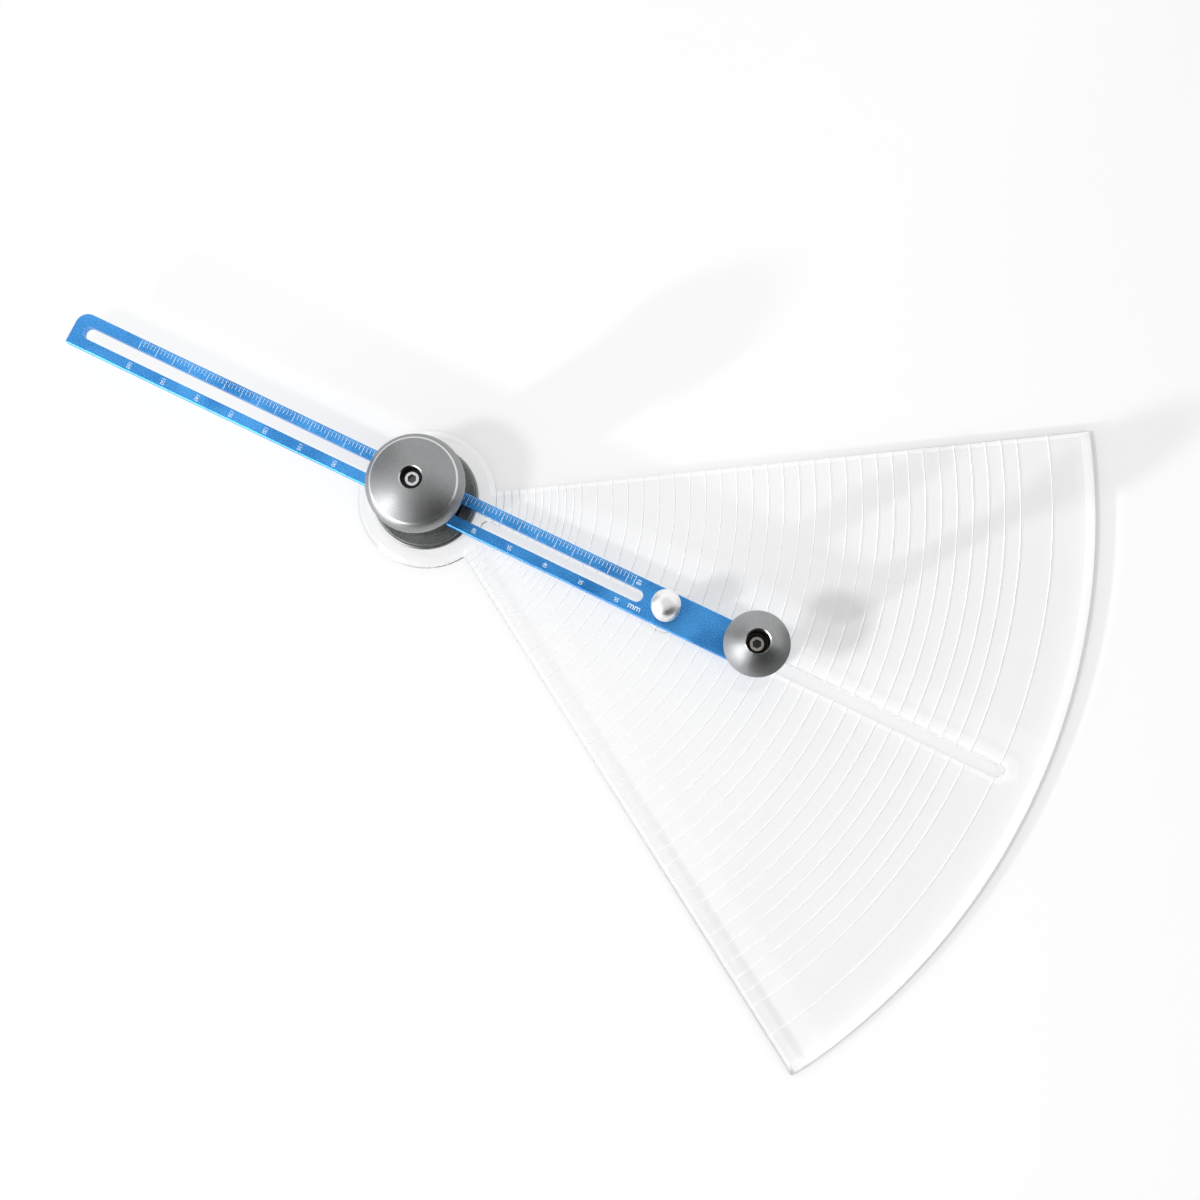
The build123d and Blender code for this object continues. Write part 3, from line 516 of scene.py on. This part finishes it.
# %% Sweep helpers
def new_piece(name, bm, material, body, smooth=False):
    """Turns a bmesh into a piece that rides on a CAD body."""
    bmesh.ops.recalc_face_normals(bm, faces=bm.faces)
    mesh = bpy.data.meshes.new(name)
    bm.to_mesh(mesh)
    bm.free()
    mesh.materials.append(material)
    for face in mesh.polygons:
        face.use_smooth = smooth
    piece = bpy.data.objects.new(name, mesh)
    bpy.context.scene.collection.objects.link(piece)
    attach(piece, body)
    return piece


def sweep(bm, sections):
    """Joins sections, each a list of points, with a skin and two end faces."""
    rings = [[bm.verts.new(point) for point in section] for section in sections]
    count = len(rings[0])
    for near, far in zip(rings, rings[1:]):
        for i in range(count):
            j = (i + 1) % count
            bm.faces.new((near[i], near[j], far[j], far[i]))
    bm.faces.new(rings[0][::-1])
    bm.faces.new(rings[-1])


print("sweeps are ready")

# %% [markdown]
# ## The engraved arcs
# The arcs are cut in the plate's underside, right out to its edges. Such a groove is frosted: it
# scatters the light that travels inside the clear sheet, so it shines white even where a shadow
# falls, which a small painted glow stands for. A shallow groove in clear acrylic can't be told
# from a low ridge inside it, so each arc is a swept ridge at the underside. The arcs stand every
# 2 mm up to 40, every 4 mm up to 152, and at 160, the largest circle.

# %% Engrave the arcs
CHIP = 0.5                               # mm
GROOVE_ROUGHNESS = 0.6
# Painted glow of the grooves.
GROOVE_PAINTED_GLOW = 0.14


def frosted():
    """White scattering finish of a groove cut in clear acrylic, with a painted glow."""
    material, tree, shader, place = new_finish("frosted_engraving")
    chips = add(tree, "TexNoise", {"Vector": place, "Scale": per(CHIP), "Detail": 3.0}).outputs["Fac"]
    tone = mottle(tree, chips, "#F4F5F5", "#FFFFFF")[0]
    tree.links.new(tone, shader.inputs["Base Color"])
    shader.inputs["Roughness"].default_value = GROOVE_ROUGHNESS
    shader.inputs["IOR"].default_value = ACRYLIC_IOR
    shader.inputs["Emission Color"].default_value = linear("#FFFFFF")
    shader.inputs["Emission Strength"].default_value = GROOVE_PAINTED_GLOW
    return material


engraving = frosted()
ARC_RADII = list(range(18, 41, 2)) + list(range(44, 153, 4)) + [160]
SECTOR_HALF = math.radians(31.5)
EDGE_MARGIN = 0.1                        # arcs run out to the plate's straight edges
SLOT_MARGIN = 1.85                       # and to the blade slot
GROOVE_WIDTH = 0.26
GROOVE_LOW = 0.03
GROOVE_HIGH = 0.17
ARC_STEP = 2.0                           # mm between sections
LEAST_STEPS = 6

arcs = bmesh.new()
for radius in ARC_RADII:
    start = math.asin(SLOT_MARGIN / radius)
    end = SECTOR_HALF - math.asin(EDGE_MARGIN / radius)
    steps = max(LEAST_STEPS, round(radius * (end - start) / ARC_STEP))
    for side in (1, -1):
        sections = []
        for i in range(steps + 1):
            angle = side * (start + (end - start) * i / steps)
            way = Vector((math.cos(angle), math.sin(angle), 0.0))
            sections.append([
                (way * (radius - GROOVE_WIDTH / 2) + Vector((0, 0, GROOVE_LOW))) * MM,
                (way * radius + Vector((0, 0, GROOVE_HIGH))) * MM,
                (way * (radius + GROOVE_WIDTH / 2) + Vector((0, 0, GROOVE_LOW))) * MM,
            ])
        sweep(arcs, sections)
plate_arcs = new_piece("plate_arcs", arcs, engraving, "hub")
print("arcs:", len(ARC_RADII), "faces:", len(plate_arcs.data.polygons))

# %% [markdown]
# ## The scale on the arm
# The scale is laser marked: the beam bleaches the dye to a pale blue white and leaves a skin of a
# few hundredths of a millimetre. The rail on the +Y side carries the ticks, every half millimetre
# from 18 to 160, and the other rail the numbers. Radii grow towards the tail, because the arm
# slides and the mark is read at the hub.

# %% The laser mark finish
PIT = 0.3                                # mm
MARK_ROUGHNESS = 0.7


def laser_marked():
    """Pale finish of a mark that a laser bleached in blue dye."""
    material, tree, shader, place = new_finish("laser_marked_scale")
    pits = add(tree, "TexNoise", {"Vector": place, "Scale": per(PIT), "Detail": 2.0}).outputs["Fac"]
    tone = mottle(tree, pits, "#D9EDFC", "#F4FAFE")[0]
    tree.links.new(tone, shader.inputs["Base Color"])
    shader.inputs["Roughness"].default_value = MARK_ROUGHNESS
    return material


scale_white = laser_marked()
print("mark finish:", scale_white.name)

# %% Mark the ticks
ARM_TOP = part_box("arm")[1].z / MM        # from the upper corner of the arm's box
RADIUS_AT_ZERO = 76.35                   # radius whose tick would stand over the hub's axis
MARK_HEIGHT = 0.02
DRAWN_IN = 0.15                          # part of a tick's width by which its top edges draw in
RAIL_OUTER = 4.42                        # ends of the ticks across the rail
RAIL_INNER = 1.78
TICKS = {                                # spacing in mm: (inner end, width)
    5.0: (RAIL_INNER, 0.14),
    1.0: (2.95, 0.12),
    0.5: (3.9, 0.065),
}
FIRST_RADIUS = 18.0
LAST_RADIUS = 160.0


def add_bar(bm, x, low, high, width, foot, height):
    """A low bar across the arm with slightly drawn-in top edges."""
    half = width / 2
    edge = width * DRAWN_IN
    base = [(x - half, low), (x + half, low), (x + half, high), (x - half, high)]
    crest = [(x - half + edge, low + edge), (x + half - edge, low + edge),
             (x + half - edge, high - edge), (x - half + edge, high - edge)]
    sweep(bm, [[Vector((px, py, foot)) * MM for px, py in base],
               [Vector((px, py, foot + height)) * MM for px, py in crest]])


ticks = bmesh.new()
tick_count = round((LAST_RADIUS - FIRST_RADIUS) * 2) + 1
for half_mm in range(tick_count):
    radius = FIRST_RADIUS + half_mm / 2
    if radius % 5 == 0 or radius == FIRST_RADIUS:
        inner, width = TICKS[5.0]
    elif radius % 1 == 0:
        inner, width = TICKS[1.0]
    else:
        inner, width = TICKS[0.5]
    add_bar(ticks, RADIUS_AT_ZERO - radius, inner, RAIL_OUTER, width, ARM_TOP, MARK_HEIGHT)
scale_ticks = new_piece("scale_ticks", ticks, scale_white, "arm")
print("ticks:", tick_count, "faces:", len(scale_ticks.data.polygons))

# %% [markdown]
# ## The numbers
# The numbers are read from the blade's end, so their tops point along +X. Blender's own font is
# turned to a mesh, narrowed, and laid on the rail. Each string is measured first, so its height on
# the arm is the real one whatever the font's own size is. The first radius has its number at the
# end of the ticks, and the unit stands on the other rail.

# %% Write the numbers
NUMBERED = range(20, 161, 10)            # radii, in mm
NUMBER_HEIGHT = 1.1
NUMBER_NARROW = 0.82                     # the real digits are slimmer than the font's
NUMBER_RAIL = -3.15                      # middle of the numbers across the arm
FIRST_PLACE = (59.6, 3.1)
FIRST_HEIGHT = 1.2
FIRST_NARROW = 0.9
UNIT_PLACE = (61.2, NUMBER_RAIL)
UNIT_HEIGHT = 1.1
UNIT_NARROW = 0.95
LETTER_HALF = 0.01                       # half of the letters' thickness before they are scaled
ALONG = Vector((1, 0, 0))
ACROSS = Vector((0, 1, 0))


def letters(words):
    """The words as a thin mesh round the origin, in the font's own size."""
    text = bpy.data.curves.new("letters", "FONT")
    text.body = words
    text.align_x = "CENTER"
    text.align_y = "CENTER"
    text.resolution_u = 4
    text.extrude = LETTER_HALF
    holder = bpy.data.objects.new("letters", text)
    bpy.context.scene.collection.objects.link(holder)
    bpy.context.view_layer.update()
    shown = holder.evaluated_get(bpy.context.evaluated_depsgraph_get())
    mesh = bpy.data.meshes.new_from_object(shown)
    bpy.data.objects.remove(holder)
    bpy.data.curves.remove(text)
    return mesh


def write(bm, words, centre, across, upward, height, narrow):
    """Adds words to a bmesh, centred on a point of the arm's top, in mm."""
    mesh = letters(words)
    xs = [v.co.x for v in mesh.vertices]
    ys = [v.co.y for v in mesh.vertices]
    middle = Vector(((max(xs) + min(xs)) / 2, (max(ys) + min(ys)) / 2, 0.0))
    size = height / (max(ys) - min(ys))
    deep = MARK_HEIGHT / (2 * LETTER_HALF)
    for v in mesh.vertices:
        flat = (v.co - middle) * size
        lift = Vector((0, 0, ARM_TOP + (v.co.z + LETTER_HALF) * deep))
        v.co = (Vector(centre).to_3d() + across * flat.x * narrow + upward * flat.y + lift) * MM
    bm.from_mesh(mesh)
    bpy.data.meshes.remove(mesh)


numbers = bmesh.new()
for radius in NUMBERED:
    write(numbers, str(radius), (RADIUS_AT_ZERO - radius, NUMBER_RAIL), -ACROSS, ALONG,
          NUMBER_HEIGHT, NUMBER_NARROW)
write(numbers, "18", FIRST_PLACE, -ACROSS, ALONG, FIRST_HEIGHT, FIRST_NARROW)
write(numbers, "mm", UNIT_PLACE, ALONG, ACROSS, UNIT_HEIGHT, UNIT_NARROW)
scale_numbers = new_piece("scale_numbers", numbers, scale_white, "arm")
print("numbers:", len(scale_numbers.data.polygons), "faces")

# %% [markdown]
# ## The return spring
# The spring under the blade's cap is wound from 0.4 mm wire. Its end turns lie close and are ground
# flat, which a plain helix doesn't show, so the wire is swept again here along a line whose rise
# is small in the first and last turn.

# %% Wind the spring
WIRE = 0.4
COIL_RADIUS = 1.975
TURNS = 5.4
END_TURN = 0.9                           # share of a turn at each end that lies close
END_RISE = 0.44
SPRING_FOOT = 12.05
SPRING_TOP = 16.55
GROUND_OFF = 0.06                        # how far the ground ends lie inside foot and top
TURN_STEPS = 36
WIRE_SIDES = 12

free_rise = SPRING_TOP - SPRING_FOOT - WIRE - 2 * END_RISE * END_TURN


def wire_height(turn):
    """Height of the wire's middle over its first point, after so many turns."""
    low = min(turn, END_TURN) * END_RISE
    free = min(max(turn - END_TURN, 0.0), TURNS - 2 * END_TURN) / (TURNS - 2 * END_TURN) * free_rise
    high = max(turn - (TURNS - END_TURN), 0.0) * END_RISE
    return low + free + high


spring = bmesh.new()
sections = []
for i in range(round(TURNS * TURN_STEPS) + 1):
    turn = i / TURN_STEPS
    angle = 2 * math.pi * turn
    out = Vector((math.cos(angle), math.sin(angle), 0.0))
    middle = Vector((BLADE_X, 0.0, SPRING_FOOT + WIRE / 2 + wire_height(turn))) + out * COIL_RADIUS
    section = []
    for k in range(WIRE_SIDES):
        around = 2 * math.pi * k / WIRE_SIDES
        point = middle + (out * math.cos(around) + Vector((0, 0, 1)) * math.sin(around)) * WIRE / 2
        point.z = min(max(point.z, SPRING_FOOT + GROUND_OFF), SPRING_TOP - GROUND_OFF)
        section.append(point * MM)
    sections.append(section)
sweep(spring, sections)
return_spring = new_piece("return_spring", spring, spring_steel, "arm", smooth=True)
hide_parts("blade_spring")
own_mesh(return_spring)
print("spring turns:", TURNS, "points:", len(return_spring.data.vertices))

# %% [markdown]
# ## The table
# The tool lies on a white table. A diffuse white lit by soft light never quite reaches paper white,
# so the rays that the eye follows, straight or by a mirror or through the plate, see a part of it
# as plain white and the rest as the lit table, which keeps the shadows. The picture is brightest at
# its upper left, so there the plain part is large, and it fades towards the lower right. Far away
# the table is all plain to the eye, so that no horizon shows from the side. Bounced light only
# meets the diffuse table.

# %% Lay the table
WHITE = (                                # (mm past the hub, plain white's part)
    (-60, 0.85),
    (0, 0.56),
    (25, 0.62),
    (66, 0.6),
    (105, 0.23),
    (140, 0.1),
)
FADING = math.radians(-30.0)             # way that it fades, from the picture's right upwards
NEAR_TABLE = 0.3                         # m from the hub, where the table starts to turn plain
FAR_TABLE = 1.0                          # m from the hub, where it is all plain
TABLE_SIDE = 3.0                         # m
TABLE_DROP = 0.05 * MM


def any_of(tree, names):
    """1 for rays of any of the named kinds."""
    path = add(tree, "LightPath")
    found = path.outputs[names[0]]
    for name in names[1:]:
        found = add(tree, "Math", {0: found, 1: path.outputs[name]}, operation="MAXIMUM").outputs[0]
    return found


table_finish = bpy.data.materials.new("white_table")
table_finish.use_nodes = True
tree = table_finish.node_tree
tree.nodes.remove(tree.nodes["Principled BSDF"])
lit = add(tree, "BsdfDiffuse", {"Color": linear("#FCFCFC")})
plain = add(tree, "Emission", {"Color": linear("#FFFFFF"), "Strength": 1.0})
followed = any_of(tree, ("Is Camera Ray", "Is Glossy Ray", "Is Transmission Ray"))
table_point = add(tree, "TexCoord").outputs["Object"]

fading = camera_turn + FADING
fading_way = (math.cos(fading), math.sin(fading), 0.0)
past = add(tree, "VectorMath", {0: table_point, 1: fading_way}, operation="DOT_PRODUCT")
first_mm = WHITE[0][0]
last_mm = WHITE[-1][0]
fraction = add(tree, "MapRange", {
    "Value": past.outputs["Value"], "From Min": first_mm * MM, "From Max": last_mm * MM,
})
white = add(tree, "ValToRGB", {"Fac": fraction.outputs[0]})
set_stops(white.color_ramp, [((mm - first_mm) / (last_mm - first_mm), part) for mm, part in WHITE])
near = add(tree, "Math", {0: followed, 1: white.outputs[0]}, operation="MULTIPLY").outputs[0]

away = add(tree, "VectorMath", {0: table_point}, operation="LENGTH").outputs["Value"]
reach = {"Value": away, "From Min": NEAR_TABLE, "From Max": FAR_TABLE, "To Min": 0.0, "To Max": 1.0}
far = add(tree, "MapRange", reach, interpolation_type="SMOOTHSTEP").outputs[0]
looked_at = any_of(tree, ("Is Camera Ray",))
faded = add(tree, "Math", {0: looked_at, 1: far}, operation="MULTIPLY").outputs[0]
plain_part = add(tree, "Math", {0: near, 1: faded}, operation="MAXIMUM").outputs[0]
mixed = add(tree, "MixShader", {0: plain_part, 1: lit.outputs[0], 2: plain.outputs[0]})
tree.links.new(mixed.outputs[0], tree.nodes["Material Output"].inputs["Surface"])

table_mesh = bmesh.new()
bmesh.ops.create_grid(table_mesh, x_segments=8, y_segments=8, size=TABLE_SIDE / 2,
                      matrix=Matrix.Translation((0, 0, -TABLE_DROP)))
table_data = bpy.data.meshes.new("table")
table_mesh.to_mesh(table_data)
table_mesh.free()
table_data.materials.append(table_finish)
table = bpy.data.objects.new("table", table_data)
bpy.context.scene.collection.objects.link(table)
print("table:", TABLE_SIDE, "m square")

# %% [markdown]
# ## The light
# Two lamps stand to the left of the picture and a little below. The high one throws the short,
# nearly sharp shadows beside the knobs. The low one is weak and small, and draws the long pale
# bands over the plate. The room gives the rest, a little more of it from the lamps' side.
# Directions are given as they are seen in the picture: 0 degrees to the right, 90 up. A lamp is set
# by its share: the part of a white table's brightness that it gives. Its light doesn't fall off
# with distance, so the share holds wherever it stands.

# %% Set up the lamps and the room
SUBJECT = Vector((40.0, 0.0, 0.0)) * MM
UP = Vector((0.0, 0.0, 1.0))


def direction(azimuth, elevation):
    """Unit vector to a direction as seen in the picture, both angles in degrees."""
    turned_by = math.radians(azimuth) + camera_turn
    rise = math.radians(elevation)
    level = Vector((math.cos(turned_by), math.sin(turned_by), 0.0))
    return level * math.cos(rise) + UP * math.sin(rise)


def soft_lamp(name, azimuth, elevation, distance, size, share):
    """A square lamp in a direction, at a distance in metres, facing the tool."""
    way = direction(azimuth, elevation)
    data = bpy.data.lights.new(name, "AREA")
    data.shape = "SQUARE"
    data.size = size
    data.energy = share * math.pi ** 2 / math.sin(math.radians(elevation))
    data.use_nodes = True
    even = add(data.node_tree, "LightFalloff", {"Strength": 1.0}).outputs["Constant"]
    data.node_tree.links.new(even, data.node_tree.nodes["Emission"].inputs["Strength"])
    lamp = bpy.data.objects.new(name, data)
    lamp.location = SUBJECT + way * distance
    lamp.rotation_mode = "QUATERNION"
    lamp.rotation_quaternion = (-way).to_track_quat("-Z", "Y")
    lamp.visible_glossy = False
    bpy.context.scene.collection.objects.link(lamp)
    return lamp


high_lamp = soft_lamp("high_lamp", azimuth=206.0, elevation=53.0, distance=0.60, size=0.07, share=0.31)
low_lamp = soft_lamp("low_lamp", azimuth=211.0, elevation=16.0, distance=1.0, size=0.04, share=0.14)
ROOM_SHARE = 0.61
ROOM_TILT = 0.6                          # how much brighter the room is to the left than above
ROOM_GAIN = 1.2                          # what the tilt multiplies a level table's light by

world = bpy.data.worlds.new("pale_room")
world.use_nodes = True
tree = world.node_tree
background = tree.nodes["Background"]
background.inputs["Color"].default_value = linear("#FFFFFF")
looking = add(tree, "TexCoord").outputs["Generated"]
window = direction(215.0, 30.0)
toward = add(tree, "VectorMath", {0: looking, 1: window}, operation="DOT_PRODUCT").outputs["Value"]
tilted = {0: toward, 1: ROOM_SHARE * ROOM_TILT / ROOM_GAIN, 2: ROOM_SHARE / ROOM_GAIN}
room = add(tree, "Math", tilted, operation="MULTIPLY_ADD").outputs[0]
mirrored = any_of(tree, ("Is Camera Ray", "Is Glossy Ray"))
strength = add(tree, "Mix", {"Factor": mirrored, 2: room, 3: 1.0}, data_type="FLOAT").outputs[0]
tree.links.new(strength, background.inputs["Strength"])
bpy.context.scene.world = world
print("lamps:", round(high_lamp.data.energy, 1), "W and", round(low_lamp.data.energy, 1), "W")

# %% [markdown]
# ## Cards to reflect
# In an all white room metal looks flat, so a photographer stands cards round it. A black one at the
# lower right gives both knobs their dark wedge. A grey one on the table beside it and a paler one
# at the upper left take some gloss off their sides, and a wide grey one hangs overhead. Two bright
# ones at the lamps' side show in metal as the lamps' own gloss. The cards only show in reflections:
# the eye doesn't see them straight, and they neither light matt surfaces nor throw shadows.

# %% Stand the cards
def card(name, centre, aim, wide, tall, level):
    """A card at centre that faces aim, with its sides in metres and a level of brightness."""
    finish = bpy.data.materials.new(name)
    finish.use_nodes = True
    tree = finish.node_tree
    tree.nodes.remove(tree.nodes["Principled BSDF"])
    glow = add(tree, "Emission", {"Color": linear("#FFFFFF"), "Strength": level})
    tree.links.new(glow.outputs[0], tree.nodes["Material Output"].inputs["Surface"])
    turn = (aim - centre).to_track_quat("Z", "Y").to_matrix().to_4x4()
    bm = bmesh.new()
    bmesh.ops.create_grid(bm, x_segments=2, y_segments=2, size=0.5)
    bm.transform(Matrix.Translation(centre) @ turn @ Matrix.Diagonal((wide, tall, 1, 1)))
    mesh = bpy.data.meshes.new(name)
    bm.to_mesh(mesh)
    bm.free()
    mesh.materials.append(finish)
    sheet = bpy.data.objects.new(name, mesh)
    bpy.context.scene.collection.objects.link(sheet)
    sheet.visible_camera = False
    sheet.visible_diffuse = False
    sheet.visible_transmission = False
    sheet.visible_shadow = False
    return sheet


def standing_card(name, azimuth, distance, wide, tall, level):
    """A card that stands on the table in a direction and faces the tool."""
    foot = SUBJECT + direction(azimuth, 0.0) * distance
    return card(name, foot + UP * tall / 2, SUBJECT + UP * tall / 2, wide, tall, level)


HUB = Vector((0.0, 0.0, 0.024))          # m, the middle of the palm knob
FLOOR_SPOT = SUBJECT + direction(-48.0, 0.0) * 0.25
FLOOR_GAP = 0.005                        # m from the table to the card that lies over it
right_card = standing_card("right_card", azimuth=-62.0, distance=0.26,
                           wide=0.56, tall=0.46, level=0.03)
floor_card = card("floor_card", centre=FLOOR_SPOT + UP * FLOOR_GAP, aim=FLOOR_SPOT + UP,
                  wide=0.32, tall=0.30, level=0.32)
left_card = standing_card("left_card", azimuth=146.0, distance=0.34,
                          wide=0.30, tall=0.20, level=0.45)
low_gloss = standing_card("low_gloss_card", azimuth=211.0, distance=0.45,
                          wide=0.40, tall=0.13, level=6.4)
high_gloss = card("high_gloss_card", centre=HUB + direction(208.0, 31.0) * 0.5, aim=HUB,
                  wide=0.13, tall=0.14, level=11.0)
ceiling_card = card("ceiling_card", centre=SUBJECT + direction(-40.0, 80.0), aim=SUBJECT,
                    wide=0.92, tall=0.92, level=0.59)
print("cards:", right_card.name, floor_card.name, left_card.name, low_gloss.name,
      high_gloss.name, ceiling_card.name)
